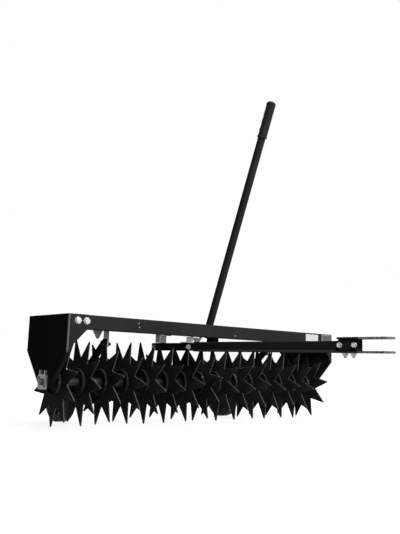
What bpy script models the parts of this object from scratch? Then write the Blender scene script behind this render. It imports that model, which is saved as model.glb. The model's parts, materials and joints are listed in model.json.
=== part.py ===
"""Tow-behind spike aerator of the 48-inch class.

Fifteen tine stars turn freely on one axle under a weight frame. A hand lever turns a lift shaft that swings
two transport wheels down. A drawbar under the frame ends in a two-strap hitch.

Metres, +Z up, the hitch points towards -Y. The origin lies on the ground under the middle of the whole machine.
Inside this file every place is measured from the middle of the tine axle, where the empty "machine" stands.
"""

from math import asin, atan2, cos, pi, radians, sin

import bmesh
import bpy
from mathutils import Matrix, Vector

# Tine stars and their axle
STAR_COUNT = 15
STAR_PITCH = 0.0762
TINE_COUNT = 10
TINE_REACH = 0.127
TINE_ROOT = 0.070
TINE_TIP = 0.0032
STAR_THICKNESS = 0.0035
COLLAR_RADIUS = 0.040
COLLAR_WALL = 0.004
COLLAR_DEPTH = 0.007
COLLAR_SINK = 0.0008
# How far each star is turned, in degrees, from the left to the right
STAR_TURNS = (22, 5.3, 26, 0.3, 9.5, 8.4, 35.9, 26.6, 11, 7, 0.5, 8, 2.4, 7, 30.8)
AXLE_RADIUS = 0.0095
AXLE_HALF_LENGTH = 0.582
BORE_RADIUS = 0.0099
SPACER_RADIUS = 0.0123

# Frame: end plates, rails and tray
PLATE_X = 0.5694
SHEET = 0.003
FRAME_TOP = 0.190
FRAME_HALF_DEPTH = 0.1215
PLATE_SHOULDER = 0.085
PLATE_FOOT = -0.0165
PLATE_FOOT_HALF = 0.029
GUSSET_WIDTH = 0.0607
GUSSET_LOW = 0.1074
GUSSET_LOW_WIDTH = 0.0205
LIP_WIDTH = 0.0138
BEND = 0.004
RAIL_SHEET = 0.0025
RAIL_FLANGE = 0.018
FRONT_RAIL_LOW = 0.1485
REAR_RAIL_LOW = 0.1626
RAIL_HALF_LENGTH = 0.5645
TRAY_SHEET = 0.002
TRAY_HALF_DEPTH = 0.114
TRAY_SLOT_X = (-0.022, 0.040)
TRAY_SLOT_Y = (-0.094, -0.014)
GAP = 0.0003

# Bearing brackets on the end plates
BEARING_HALF_WIDTH = 0.024
BEARING_HALF_HEIGHT = 0.021
BEARING_THICKNESS = 0.006
BEARING_CORNER = 0.007
PRONG_OFFSET = 0.0145
PRONG_WIDTH = 0.006
PRONG_TOP = 0.033

# Drawbar and hitch
DRAWBAR_X = -0.120
DRAWBAR_LOW = 0.1017
DRAWBAR_HEIGHT = 0.0300
DRAWBAR_DEPTH = 0.027
DRAWBAR_SHEET = 0.0023
DRAWBAR_BEND = 0.0035
DRAWBAR_BACK = -0.1155
DRAWBAR_FRONT = -0.686
REAR_BAR_BACK = 0.109
REAR_BAR_FRONT = -0.200
HANGER_SHEET = 0.003
HANGER_X = (-0.118, -0.093)
HITCH_BLOCK_X = (-0.1215, -0.0985)
HITCH_BLOCK_Z = (0.1067, 0.1352)
HITCH_BLOCK_FRONT = -0.7457
HITCH_TONGUE = 0.055
STRAP_X = -0.107
STRAP_WIDTH = 0.038
STRAP_SHEET = 0.0048
STRAP_BACK = -0.6865
PIN_Y = -0.8217
PIN_RADIUS = 0.0068

# Lift gear
LIFT_Y = -0.0465
LIFT_Z = 0.1635
SHAFT_RADIUS = 0.008
SHAFT_HOLE = 0.0083
SHAFT_X = (-0.447, 0.313)
LEVER_X = -0.003
LEVER_RADIUS = 0.0127
LEVER_WALL = 0.0016
LEVER_LEAN = radians(21.1)
LEVER_FOOT = -0.012
LEVER_TOP = 0.784
SOCKET_X = (0.0100, 0.0325)
SOCKET_Y = (-0.0675, -0.0295)
SOCKET_Z = (0.1325, 0.1755)
GRIP_START = 0.677
GRIP_END = 0.798
GRIP_RADIUS = 0.0152
GRIP_RIDGE = 0.0020
SHAFT_HANGERS = (("left", -0.4290), ("right", 0.3005))
SHAFT_HANGER_WIDTH = 0.053
SHAFT_HANGER_TIP = 0.1275
SHAFT_HANGER_FOOT = 0.020

# Wheels and their arms
WHEEL_X = (-0.4275, 0.2570)
WHEEL_Y = 0.1535
WHEEL_RADIUS = 0.0699
WHEEL_HALF_WIDTH = 0.017
HUB_RADIUS = 0.013
HUB_HALF_WIDTH = 0.0185
WEB_HALF = 0.005
RIM_RADIUS = 0.042
WHEEL_WINDOWS = 6
WINDOW_RADIUS = 0.0085
WINDOW_CIRCLE = 0.0275
ARM_SHEET = 0.006
ARM_WIDTH = 0.024
ARM_OFFSET = 0.0195
BRACKET_WIDTH = 0.019
BRACKET_SHEET = 0.005
CRANK_Z = 0.1170
WHEEL_BOLT_RADIUS = 0.0048

# Where the axle stands over the ground and behind the machine's middle
AXLE_HEIGHT = TINE_REACH
WHEEL_Z = WHEEL_RADIUS - AXLE_HEIGHT
AXLE_Y = (STRAP_WIDTH / 2 - PIN_Y - WHEEL_Y - WHEEL_RADIUS) / 2

# Turns that lay a flat XY drawing into another plane, and an upright axis along X
TO_YZ = (pi / 2, 0, pi / 2)
TO_XZ = (pi / 2, 0, 0)
TO_XY = (0, 0, 0)
ALONG_X = (0, pi / 2, 0)

BLACK = ("black_powder_coat", (0.012, 0.012, 0.013), 0.42, 0.0)
TINE_BLACK = ("black_tine_paint", (0.010, 0.010, 0.011), 0.50, 0.0)
ZINC = ("zinc_plating", (0.56, 0.55, 0.52), 0.38, 0.9)
STEEL = ("axle_steel", (0.06, 0.06, 0.065), 0.45, 0.6)
PLASTIC = ("black_plastic", (0.016, 0.016, 0.017), 0.55, 0.0)
RUBBER = ("grip_rubber", (0.011, 0.011, 0.012), 0.70, 0.0)


def clear_scene():
    for obj in list(bpy.data.objects):
        bpy.data.objects.remove(obj)


def new_collection(name):
    made = bpy.data.collections.new(name)
    bpy.context.scene.collection.children.link(made)
    return made


def material(finish):
    """The Principled material of a finish: its name, colour, roughness and metallic value."""
    name, colour, roughness, metallic = finish
    found = bpy.data.materials.get(name)
    if found:
        return found
    made = bpy.data.materials.new(name)
    made.use_nodes = True
    shader = made.node_tree.nodes["Principled BSDF"]
    shader.inputs["Base Color"].default_value = (*colour, 1)
    shader.inputs["Roughness"].default_value = roughness
    shader.inputs["Metallic"].default_value = metallic
    return made


def empty(name, location, parent=None):
    made = bpy.data.objects.new(name, None)
    made.location = location
    made.parent = parent
    model.objects.link(made)
    return made


def place(name, mesh, finish, parent, location=(0, 0, 0), rotation=(0, 0, 0)):
    """Adds one piece of the machine."""
    obj = bpy.data.objects.new(name, mesh)
    obj.location = location
    obj.rotation_euler = rotation
    obj.parent = parent
    if not mesh.materials:
        mesh.materials.append(material(finish))
    model.objects.link(obj)
    return obj


def mesh_from(bm, name):
    mesh = bpy.data.meshes.new(name)
    bm.to_mesh(mesh)
    bm.free()
    return mesh


def smooth(mesh, angle=35):
    """Smooth shading, with the edges sharper than the angle left sharp."""
    mesh.shade_smooth()
    mesh.set_sharp_from_angle(angle=radians(angle))
    return mesh


def baked(obj, name):
    """The mesh that an object's modifiers or curve make, welded. The object itself is removed."""
    graph = bpy.context.evaluated_depsgraph_get()
    mesh = bpy.data.meshes.new_from_object(obj.evaluated_get(graph))
    mesh.name = name
    bpy.data.objects.remove(obj)
    bm = bmesh.new()
    bm.from_mesh(mesh)
    bmesh.ops.remove_doubles(bm, verts=bm.verts, dist=1e-6)
    bmesh.ops.recalc_face_normals(bm, faces=bm.faces)
    bm.to_mesh(mesh)
    bm.free()
    return mesh


def scratch_object(data):
    obj = bpy.data.objects.new("scratch", data)
    bpy.context.scene.collection.objects.link(obj)
    return obj


def circle(radius, count, centre=(0, 0)):
    steps = [2 * pi * i / count for i in range(count)]
    return [(centre[0] + radius * cos(a), centre[1] + radius * sin(a)) for a in steps]


def arc(centre, radius, start, end, count):
    """Points on an arc, from start to end in degrees, both ends included."""
    steps = [radians(start + (end - start) * i / count) for i in range(count + 1)]
    return [(centre[0] + radius * cos(a), centre[1] + radius * sin(a)) for a in steps]


def rectangle(x, y, corner=0.0, count=3):
    """A rectangle between the two values of x and of y, with round corners if corner isn't 0."""
    (x0, x1), (y0, y1) = sorted(x), sorted(y)
    if not corner:
        return [(x0, y0), (x1, y0), (x1, y1), (x0, y1)]
    left, right, low, high = x0 + corner, x1 - corner, y0 + corner, y1 - corner
    middles = ((left, low), (right, low), (right, high), (left, high))
    points = []
    for middle, start in zip(middles, (180, 270, 0, 90)):
        points += arc(middle, corner, start, start + 90, count)
    return points


def channel(height, depth, sheet, bend):
    """A folded channel's section: its back lies on x = 0, its flanges point to +x, its low side is y = 0."""
    inner = bend - sheet
    outside = arc((bend, bend), bend, 270, 180, 3) + arc((bend, height - bend), bend, 180, 90, 3)
    inside = arc((bend, height - bend), inner, 90, 180, 2) + arc((bend, bend), inner, 180, 270, 2)
    return [(depth, 0), *outside, (depth, height), (depth, height - sheet), *inside, (depth, sheet)]


def bar_outline(start, end, width, count=6):
    """A flat bar with round ends from start to end."""
    direction = atan2(end[1] - start[1], end[0] - start[0]) * 180 / pi
    half = width / 2
    far_end = arc(end, half, direction - 90, direction + 90, count)
    return far_end + arc(start, half, direction + 90, direction + 270, count)


def flat(name, outlines, thickness):
    """A flat plate in the XY plane. The first outline is its edge and the others are holes."""
    curve = bpy.data.curves.new(name, "CURVE")
    curve.dimensions = "2D"
    curve.fill_mode = "BOTH"
    curve.extrude = thickness / 2
    for outline in outlines:
        spline = curve.splines.new("POLY")
        spline.points.add(len(outline) - 1)
        for point, (x, y) in zip(spline.points, outline):
            point.co = (x, y, 0, 1)
        spline.use_cyclic_u = True
    return baked(scratch_object(curve), name)


def turned(name, profile, steps, loop=False):
    """A shape turned about Z from (radius, height) points that run down its outer side."""
    bm = bmesh.new()
    verts = [bm.verts.new((radius, 0, height)) for radius, height in profile]
    pairs = list(zip(verts, verts[1:]))
    if loop:
        pairs.append((verts[-1], verts[0]))
    for pair in pairs:
        bm.edges.new(pair)
    obj = scratch_object(mesh_from(bm, name))
    screw = obj.modifiers.new("turn", "SCREW")
    screw.steps = steps
    screw.render_steps = steps
    screw.use_merge_vertices = True
    screw.merge_threshold = 1e-6
    return smooth(baked(obj, name))


def round_bar(name, radius, length, steps, chamfer=0.001):
    """A round bar along Z with chamfered ends, its middle at the origin."""
    half = length / 2
    profile = [(0, half), (radius - chamfer, half), (radius, half - chamfer)]
    profile += [(radius, chamfer - half), (radius - chamfer, -half), (0, -half)]
    return turned(name, profile, steps)


def box_mesh(name, x, y, z):
    """A box between the two values of x, y and z."""
    bm = bmesh.new()
    bmesh.ops.create_cube(bm, size=1)
    size = Vector((x[1] - x[0], y[1] - y[0], z[1] - z[0]))
    middle = Vector(((x[0] + x[1]) / 2, (y[0] + y[1]) / 2, (z[0] + z[1]) / 2))
    bmesh.ops.transform(bm, matrix=Matrix.LocRotScale(middle, None, size), verts=bm.verts)
    return mesh_from(bm, name)


def bevel(obj, width, segments=2):
    rounding = obj.modifiers.new("rounding", "BEVEL")
    rounding.width = width
    rounding.segments = segments
    rounding.limit_method = "ANGLE"
    rounding.angle_limit = radians(40)


def cutter(name, mesh, parent, location=(0, 0, 0), rotation=(0, 0, 0)):
    obj = bpy.data.objects.new(name, mesh)
    obj.location = location
    obj.rotation_euler = rotation
    obj.parent = parent
    obj.hide_render = True
    obj.display_type = "WIRE"
    cutters.objects.link(obj)
    return obj


def combine(obj, other, operation):
    boolean = obj.modifiers.new(operation.lower(), "BOOLEAN")
    boolean.operation = operation
    boolean.solver = "EXACT"
    boolean.object = other


def drill_x(obj, name, radius, parent, location, length=0.1, steps=24):
    """Cuts a round hole along X through a piece."""
    combine(obj, cutter(name, round_bar(name, radius, length, steps), parent, location, ALONG_X), "DIFFERENCE")


def star_outline():
    """Ten straight-sided tines: a blunt tip on the reach circle, then a notch on the root circle."""
    half_tip = asin(TINE_TIP / 2 / TINE_REACH)
    points = []
    for tine in range(TINE_COUNT):
        middle = 2 * pi * tine / TINE_COUNT
        notch = middle + pi / TINE_COUNT
        for radius, angle in ((TINE_REACH, middle - half_tip), (TINE_REACH, middle + half_tip), (TINE_ROOT, notch)):
            points.append((radius * cos(angle), radius * sin(angle)))
    return points


def star_mesh():
    """One tine star in the YZ plane: the tined plate and the collar on its left face, in one piece."""
    plate = scratch_object(flat("star_plate", [star_outline(), circle(BORE_RADIUS, 20)], STAR_THICKNESS))
    half = (COLLAR_DEPTH + COLLAR_SINK) / 2
    rings = [circle(COLLAR_RADIUS, 28), circle(COLLAR_RADIUS - COLLAR_WALL, 28)]
    collar = scratch_object(flat("collar", rings, 2 * half))
    collar.location.z = -STAR_THICKNESS / 2 + COLLAR_SINK - half
    combine(plate, collar, "UNION")
    mesh = baked(plate, "star")
    bpy.data.objects.remove(collar)
    mesh.transform(Matrix.Rotation(pi / 2, 4, "Z") @ Matrix.Rotation(pi / 2, 4, "X"))
    return smooth(mesh, 30)


def star_x(number):
    return (number - (STAR_COUNT - 1) / 2) * STAR_PITCH


def make_tine_rotor():
    axle = round_bar("axle", AXLE_RADIUS, 2 * AXLE_HALF_LENGTH, 20)
    place("tine_axle", axle, STEEL, machine, rotation=ALONG_X)
    mesh = star_mesh()
    for number, turn in enumerate(STAR_TURNS):
        name = f"tine_star_{number + 1:02d}"
        place(name, mesh, TINE_BLACK, machine, (star_x(number), 0, 0), (radians(turn), 0, 0))
    face = STAR_THICKNESS / 2 + GAP
    length = STAR_PITCH - 2 * face
    rings = [circle(SPACER_RADIUS, 16), circle(BORE_RADIUS, 16)]
    spacer = smooth(flat("spacer", rings, length), 40)
    for number in range(STAR_COUNT - 1):
        middle = star_x(number) + STAR_PITCH / 2
        place(f"spacer_{number + 1:02d}", spacer, STEEL, machine, (middle, 0, 0), TO_YZ)
    inner_face = PLATE_X - SHEET - GAP
    last_face = star_x(STAR_COUNT - 1) + face
    end_spacer = smooth(flat("end_spacer", rings, inner_face - last_face), 40)
    middle = (inner_face + last_face) / 2
    place("end_spacer_left", end_spacer, STEEL, machine, (-middle, 0, 0), TO_YZ)
    place("end_spacer_right", end_spacer, STEEL, machine, (middle, 0, 0), TO_YZ)


def end_plate_mesh():
    """The front half of an end plate as one sheet surface, its outer face on x = 0 and its flanges towards +x."""
    depth, foot = FRAME_HALF_DEPTH, PLATE_FOOT_HALF
    bm = bmesh.new()

    def vert(x, y, z):
        return bm.verts.new((x, y, z))

    top, shoulder, low = vert(0, -depth, FRAME_TOP), vert(0, -depth, PLATE_SHOULDER), vert(0, -foot, PLATE_FOOT)
    bm.faces.new((top, shoulder, low, vert(0, 0, PLATE_FOOT), vert(0, 0, FRAME_TOP)))
    lip_shoulder, lip_low = vert(LIP_WIDTH, -depth, PLATE_SHOULDER), vert(LIP_WIDTH, -foot, PLATE_FOOT)
    gusset_top, gusset_side = vert(GUSSET_WIDTH, -depth, FRAME_TOP), vert(GUSSET_WIDTH, -depth, FRONT_RAIL_LOW)
    gusset_low = vert(GUSSET_LOW_WIDTH, -depth, GUSSET_LOW)
    bm.faces.new((top, gusset_top, gusset_side, gusset_low, lip_shoulder, shoulder))
    bm.faces.new((shoulder, lip_shoulder, lip_low, low))
    return mesh_from(bm, "end_plate")


def make_end_plates():
    for side, x, turn in (("left", -PLATE_X, 0), ("right", PLATE_X, pi)):
        plate = place(f"end_plate_{side}", end_plate_mesh(), BLACK, machine, (x, 0, 0), (0, 0, turn))
        mirror = plate.modifiers.new("rear_half", "MIRROR")
        mirror.use_axis = (False, True, False)
        mirror.merge_threshold = 1e-5
        folds = plate.modifiers.new("folds", "BEVEL")
        folds.width = BEND
        folds.segments = 3
        folds.limit_method = "ANGLE"
        folds.angle_limit = radians(20)
        sheet = plate.modifiers.new("sheet", "SOLIDIFY")
        sheet.thickness = SHEET
        sheet.offset = 1
        sheet.use_even_offset = True
        drill_x(plate, f"axle_hole_{side}", BORE_RADIUS + 0.0006, machine, (x, 0, 0))


def make_rails_and_tray():
    length = 2 * RAIL_HALF_LENGTH
    back = FRAME_HALF_DEPTH - SHEET - GAP
    front = flat("front_rail", [channel(FRAME_TOP - FRONT_RAIL_LOW, RAIL_FLANGE, RAIL_SHEET, BEND)], length)
    place("front_rail", smooth(front, 30), BLACK, machine, (0, -back, FRONT_RAIL_LOW), TO_YZ)
    mirrored = [(-x, y) for x, y in channel(FRAME_TOP - REAR_RAIL_LOW, RAIL_FLANGE, RAIL_SHEET, BEND)]
    rear = flat("rear_rail", [mirrored], length)
    place("rear_rail", smooth(rear, 30), BLACK, machine, (0, back, REAR_RAIL_LOW), TO_YZ)
    edge = rectangle((-RAIL_HALF_LENGTH, RAIL_HALF_LENGTH), (-TRAY_HALF_DEPTH, TRAY_HALF_DEPTH))
    slot = rectangle(TRAY_SLOT_X, TRAY_SLOT_Y)
    height = FRAME_TOP - RAIL_SHEET - GAP - TRAY_SHEET / 2
    place("weight_tray", flat("tray", [edge, slot], TRAY_SHEET), BLACK, machine, (0, 0, height))


def bearing_outline():
    """A round-cornered plate with two upright prongs on its top edge."""
    wide, high, corner, half = BEARING_HALF_WIDTH, BEARING_HALF_HEIGHT, BEARING_CORNER, PRONG_WIDTH / 2
    points = arc((-wide + corner, -high + corner), corner, 180, 270, 3)
    points += arc((wide - corner, -high + corner), corner, 270, 360, 3)
    points += arc((wide - corner, high - corner), corner, 0, 90, 3)
    for middle in (PRONG_OFFSET, -PRONG_OFFSET):
        points.append((middle + half, high))
        points += arc((middle, PRONG_TOP - half), half, 0, 180, 4)
        points.append((middle - half, high))
    return points + arc((-wide + corner, high - corner), corner, 90, 180, 3)


def make_bearings():
    mesh = flat("bearing", [bearing_outline(), circle(BORE_RADIUS, 20)], BEARING_THICKNESS)
    middle = PLATE_X + GAP + BEARING_THICKNESS / 2
    for side, x in (("left", -middle), ("right", middle)):
        place(f"axle_bearing_{side}", mesh, ZINC, machine, (x, 0, 0), TO_YZ)


def z_bracket(low, high, upright, foot, top):
    """A strip folded twice: a foot at height low, an upright, and a top flange that ends at height high."""
    sheet = HANGER_SHEET
    far = upright - sheet
    return [(foot, low), (far, low), (far, high - sheet), (top, high - sheet), (top, high), (upright, high),
            (upright, low + sheet), (foot, low + sheet)]


def u_bracket(low, high, rear, front, top, shelf, shelf_end):
    """A strip folded up at both ends: the rear upright ends in a flange, the shorter front one in a shelf."""
    sheet = HANGER_SHEET
    return [(rear, low), (front, low), (front, shelf - sheet), (shelf_end, shelf - sheet), (shelf_end, shelf),
            (front + sheet, shelf), (front + sheet, low + sheet), (rear - sheet, low + sheet), (rear - sheet, high),
            (top, high), (top, high - sheet), (rear, high - sheet)]


def make_drawbar():
    length = DRAWBAR_BACK - DRAWBAR_FRONT
    middle = (DRAWBAR_BACK + DRAWBAR_FRONT) / 2
    section = channel(DRAWBAR_HEIGHT, DRAWBAR_DEPTH, DRAWBAR_SHEET, DRAWBAR_BEND)
    bar = smooth(flat("drawbar", [section], length), 30)
    place("drawbar_channel", bar, BLACK, machine, (DRAWBAR_X, middle, DRAWBAR_LOW), TO_XZ)

    inset = DRAWBAR_SHEET + GAP
    wall = 0.0025
    x0, x1 = inset, DRAWBAR_DEPTH - 0.0012
    z0, z1 = inset, DRAWBAR_HEIGHT - inset
    outer = rectangle((x0, x1), (z0, z1), 0.003)
    inner = rectangle((x0 + wall, x1 - wall), (z0 + wall, z1 - wall))
    length = REAR_BAR_BACK - REAR_BAR_FRONT
    middle = (REAR_BAR_BACK + REAR_BAR_FRONT) / 2
    rear = smooth(flat("rear_bar", [outer, inner], length), 30)
    place("drawbar_rear_bar", rear, BLACK, machine, (DRAWBAR_X, middle, DRAWBAR_LOW), TO_XZ)

    bar_top = DRAWBAR_LOW + z1 + GAP
    width = HANGER_X[1] - HANGER_X[0]
    across = (HANGER_X[0] + HANGER_X[1]) / 2
    front = z_bracket(bar_top, FRONT_RAIL_LOW - GAP, -0.079, -0.046, -0.114)
    place("drawbar_hanger_front", flat("front_hanger", [front], width), ZINC, machine, (across, 0, 0), TO_YZ)
    rear = u_bracket(bar_top, REAR_RAIL_LOW - GAP, 0.0885, 0.0600, 0.114, 0.1560, 0.0340)
    place("drawbar_hanger_rear", flat("rear_hanger", [rear], width), ZINC, machine, (across, 0, 0), TO_YZ)


def make_hitch():
    block = box_mesh("block", HITCH_BLOCK_X, (HITCH_BLOCK_FRONT, DRAWBAR_FRONT - GAP), HITCH_BLOCK_Z)
    block = place("hitch_block", block, BLACK, machine)
    bevel(block, 0.0015)
    inset = DRAWBAR_SHEET + 0.0012
    tongue_x = (DRAWBAR_X + inset, HITCH_BLOCK_X[1])
    tongue_z = (HITCH_BLOCK_Z[0] + 0.001, DRAWBAR_LOW + DRAWBAR_HEIGHT - inset)
    tongue_y = (DRAWBAR_FRONT - 0.010, DRAWBAR_FRONT + HITCH_TONGUE)
    combine(block, cutter("hitch_tongue", box_mesh("tongue", tongue_x, tongue_y, tongue_z), machine), "UNION")

    half = STRAP_WIDTH / 2
    nose = arc((0, PIN_Y), half, 180, 360, 12)
    edge = [(half, STRAP_BACK), (-half, STRAP_BACK), *nose]
    hole = circle(PIN_RADIUS, 20, (0, PIN_Y))
    strap = smooth(flat("strap", [edge, hole], STRAP_SHEET), 30)
    offset = GAP + STRAP_SHEET / 2
    place("hitch_strap_upper", strap, BLACK, machine, (STRAP_X, 0, HITCH_BLOCK_Z[1] + offset))
    place("hitch_strap_lower", strap, BLACK, machine, (STRAP_X, 0, HITCH_BLOCK_Z[0] - offset))


def grip_mesh():
    """The moulded grip round the lever's top, along Z: finger ridges on its rear side and a domed end."""
    rings, sides = 30, 20
    length = GRIP_END - GRIP_START
    dome = 0.010
    bm = bmesh.new()
    previous = None
    first = []
    for ring in range(rings + 1):
        along = ring / rings
        height = GRIP_START + along * length
        below_end = GRIP_END - height
        shrink = 1 if below_end > dome else (max(0.0, 1 - (1 - below_end / dome) ** 2)) ** 0.5
        shrink = max(shrink, 0.25)
        ridge = 0.5 - 0.5 * cos(2 * pi * 4 * min(along / 0.86, 1))
        flare = 0.0015 if ring < 2 else 0
        row = []
        for side in range(sides):
            angle = 2 * pi * side / sides
            rear = max(0.0, sin(angle)) ** 2
            radius = (GRIP_RADIUS + flare - GRIP_RIDGE * ridge * rear) * shrink
            row.append(bm.verts.new((radius * cos(angle), radius * sin(angle), height)))
        if previous:
            for side in range(sides):
                after = (side + 1) % sides
                bm.faces.new((previous[side], previous[after], row[after], row[side]))
        else:
            first = row
        previous = row
    bm.faces.new(list(reversed(first)))
    bm.faces.new(previous)
    return smooth(mesh_from(bm, "grip"), 50)


def make_lift():
    length = SHAFT_X[1] - SHAFT_X[0]
    middle = (SHAFT_X[0] + SHAFT_X[1]) / 2
    shaft = round_bar("shaft", SHAFT_RADIUS, length, 20)
    shaft = place("lift_shaft", shaft, BLACK, lift, (middle, 0, 0), ALONG_X)
    y = [value - LIFT_Y for value in SOCKET_Y]
    z = [value - LIFT_Z for value in SOCKET_Z]
    socket = cutter("lever_socket", box_mesh("socket", SOCKET_X, y, z), lift)
    bevel(socket, 0.002)
    combine(shaft, socket, "UNION")

    lever_turn = (LEVER_LEAN, 0, 0)
    inside = LEVER_RADIUS - LEVER_WALL
    wall = [(LEVER_RADIUS, LEVER_TOP), (LEVER_RADIUS, LEVER_FOOT), (inside, LEVER_FOOT), (inside, LEVER_TOP)]
    tube = turned("lever_tube", wall, 24, loop=True)
    tube = place("lever_tube", tube, BLACK, lift, (LEVER_X, 0, 0), lever_turn)
    drill_x(tube, "lever_bore", SHAFT_HOLE, lift, (LEVER_X, 0, 0))

    grip = place("lever_grip", grip_mesh(), RUBBER, lift, (LEVER_X, 0, 0), lever_turn)
    reach = (GRIP_START - 0.02, LEVER_TOP + GAP)
    bore = round_bar("grip_bore", LEVER_RADIUS + GAP, reach[1] - reach[0], 24, 0.0005)
    bore.transform(Matrix.Translation((0, 0, (reach[0] + reach[1]) / 2)))
    combine(grip, cutter("grip_bore", bore, lift, (LEVER_X, 0, 0), lever_turn), "DIFFERENCE")


def make_shaft_hangers():
    """Zinc hangers under the tray: an upright plate with a pointed low end, and a foot bent along the tray."""
    half = SHAFT_HANGER_WIDTH / 2
    top = FRAME_TOP - RAIL_SHEET - 2 * GAP - TRAY_SHEET
    taper = 0.0235
    edge = [(-half, top), (-half, SHAFT_HANGER_TIP + taper), (-0.004, SHAFT_HANGER_TIP), (0.004, SHAFT_HANGER_TIP),
            (half, SHAFT_HANGER_TIP + taper), (half, top)]
    hole = circle(SHAFT_HOLE, 20, (0, LIFT_Z))
    for side, x in SHAFT_HANGERS:
        mesh = flat("shaft_hanger", [edge, hole], HANGER_SHEET)
        hanger = place(f"shaft_hanger_{side}", mesh, ZINC, machine, (x, LIFT_Y, 0), TO_YZ)
        foot_y = (LIFT_Y - half + 0.001, LIFT_Y + half - 0.001)
        foot = box_mesh("foot", (x, x + SHAFT_HANGER_FOOT), foot_y, (top - HANGER_SHEET, top - GAP))
        combine(hanger, cutter(f"hanger_foot_{side}", foot, machine), "UNION")


def wheel_mesh():
    """One moulded wheel about Z: hub, thin web and a wide rim with a crowned tread."""
    half, bore = WHEEL_HALF_WIDTH, WHEEL_BOLT_RADIUS + 0.0004
    upper = [(bore, HUB_HALF_WIDTH), (HUB_RADIUS, HUB_HALF_WIDTH), (HUB_RADIUS + 0.0015, WEB_HALF),
             (RIM_RADIUS - 0.002, WEB_HALF), (RIM_RADIUS, half - 0.001), (RIM_RADIUS + 0.002, half),
             (WHEEL_RADIUS - 0.010, half), (WHEEL_RADIUS - 0.004, half - 0.002), (WHEEL_RADIUS, half - 0.009)]
    return turned("wheel", upper + [(radius, -height) for radius, height in reversed(upper)], 36, loop=True)


def wheel_windows():
    """Round bars that cut the windows between the spokes of a wheel."""
    bm = bmesh.new()
    for number in range(WHEEL_WINDOWS):
        angle = 2 * pi * (number + 0.5) / WHEEL_WINDOWS
        spot = Matrix.Translation((WINDOW_CIRCLE * cos(angle), WINDOW_CIRCLE * sin(angle), 0))
        bmesh.ops.create_cone(bm, cap_ends=True, segments=14, radius1=WINDOW_RADIUS, radius2=WINDOW_RADIUS,
                              depth=0.05, matrix=spot)
    return mesh_from(bm, "windows")


def make_wheels():
    down = WHEEL_Z - LIFT_Z
    back = WHEEL_Y - LIFT_Y
    crank = (0, CRANK_Z - LIFT_Z)
    hub = (back, down)
    for side, x in zip(("left", "right"), WHEEL_X):
        arm_x = x + ARM_OFFSET + ARM_SHEET / 2
        bolt_hole = circle(WHEEL_BOLT_RADIUS + GAP, 16, hub)
        arm = smooth(flat("arm", [bar_outline(crank, hub, ARM_WIDTH), bolt_hole], ARM_SHEET), 30)
        place(f"wheel_arm_{side}", arm, BLACK, lift, (arm_x, 0, 0), TO_YZ)
        bracket_x = arm_x + ARM_SHEET / 2 + GAP + BRACKET_SHEET / 2
        outline = bar_outline((0, 0), (0, crank[1] - 0.004), BRACKET_WIDTH + 0.004)
        bracket = smooth(flat("arm_bracket", [outline, circle(SHAFT_HOLE, 20)], BRACKET_SHEET), 30)
        place(f"arm_bracket_{side}", bracket, ZINC, lift, (bracket_x, 0, 0), TO_YZ)

        pivot = empty(f"wheel_pivot_{side}", (x, back, down), lift)
        wheel = place(f"wheel_{side}", wheel_mesh(), PLASTIC, pivot, rotation=ALONG_X)
        combine(wheel, cutter(f"windows_{side}", wheel_windows(), pivot, rotation=ALONG_X), "DIFFERENCE")

        head = -HUB_HALF_WIDTH - GAP
        end = arm_x - x + ARM_SHEET / 2 + 0.010
        radius, head_radius, head_height = WHEEL_BOLT_RADIUS, 0.0085, 0.0035
        profile = [(0, end), (radius - 0.001, end), (radius, end - 0.001), (radius, head), (head_radius, head),
                   (head_radius, head - head_height), (0, head - head_height)]
        place(f"wheel_bolt_{side}", turned("wheel_bolt", profile, 18), ZINC, lift, (x, back, down), ALONG_X)


clear_scene()
model = new_collection("spike_aerator")
cutters = new_collection("cutters")
machine = empty("machine", (0, AXLE_Y, AXLE_HEIGHT))
lift = empty("lift_pivot", (0, LIFT_Y, LIFT_Z), machine)
make_tine_rotor()
make_end_plates()
make_rails_and_tray()
make_bearings()
make_drawbar()
make_hitch()
make_lift()
make_shaft_hangers()
make_wheels()
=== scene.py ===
"""Looks of a tow-behind spike aerator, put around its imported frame.

Metres, in the frame's own axes: the tine axle runs along X, the hitch points towards -Y, and +Z is up.
Each operator but the first and the last makes one group of pieces, with their places in their meshes.
"""

import json

import bmesh
import bpy
import numpy as np
from mathutils import Matrix, Vector


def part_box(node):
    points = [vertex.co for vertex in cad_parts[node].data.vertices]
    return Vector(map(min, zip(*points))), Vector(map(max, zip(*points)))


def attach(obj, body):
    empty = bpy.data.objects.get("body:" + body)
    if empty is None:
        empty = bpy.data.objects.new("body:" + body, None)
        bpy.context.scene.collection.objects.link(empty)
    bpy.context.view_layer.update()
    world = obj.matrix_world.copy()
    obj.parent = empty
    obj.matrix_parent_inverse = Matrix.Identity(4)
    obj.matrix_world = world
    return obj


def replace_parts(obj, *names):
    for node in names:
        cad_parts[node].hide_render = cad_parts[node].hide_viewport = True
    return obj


bl_info = {
    "name": "Spike Aerator Looks",
    "version": (1, 0, 0),
    "blender": (4, 5, 0),
    "location": "View3D > Sidebar > Aerator",
    "description": "Dresses the packed frame of a tow-behind spike aerator",
    "category": "Add Mesh",
}

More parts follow.
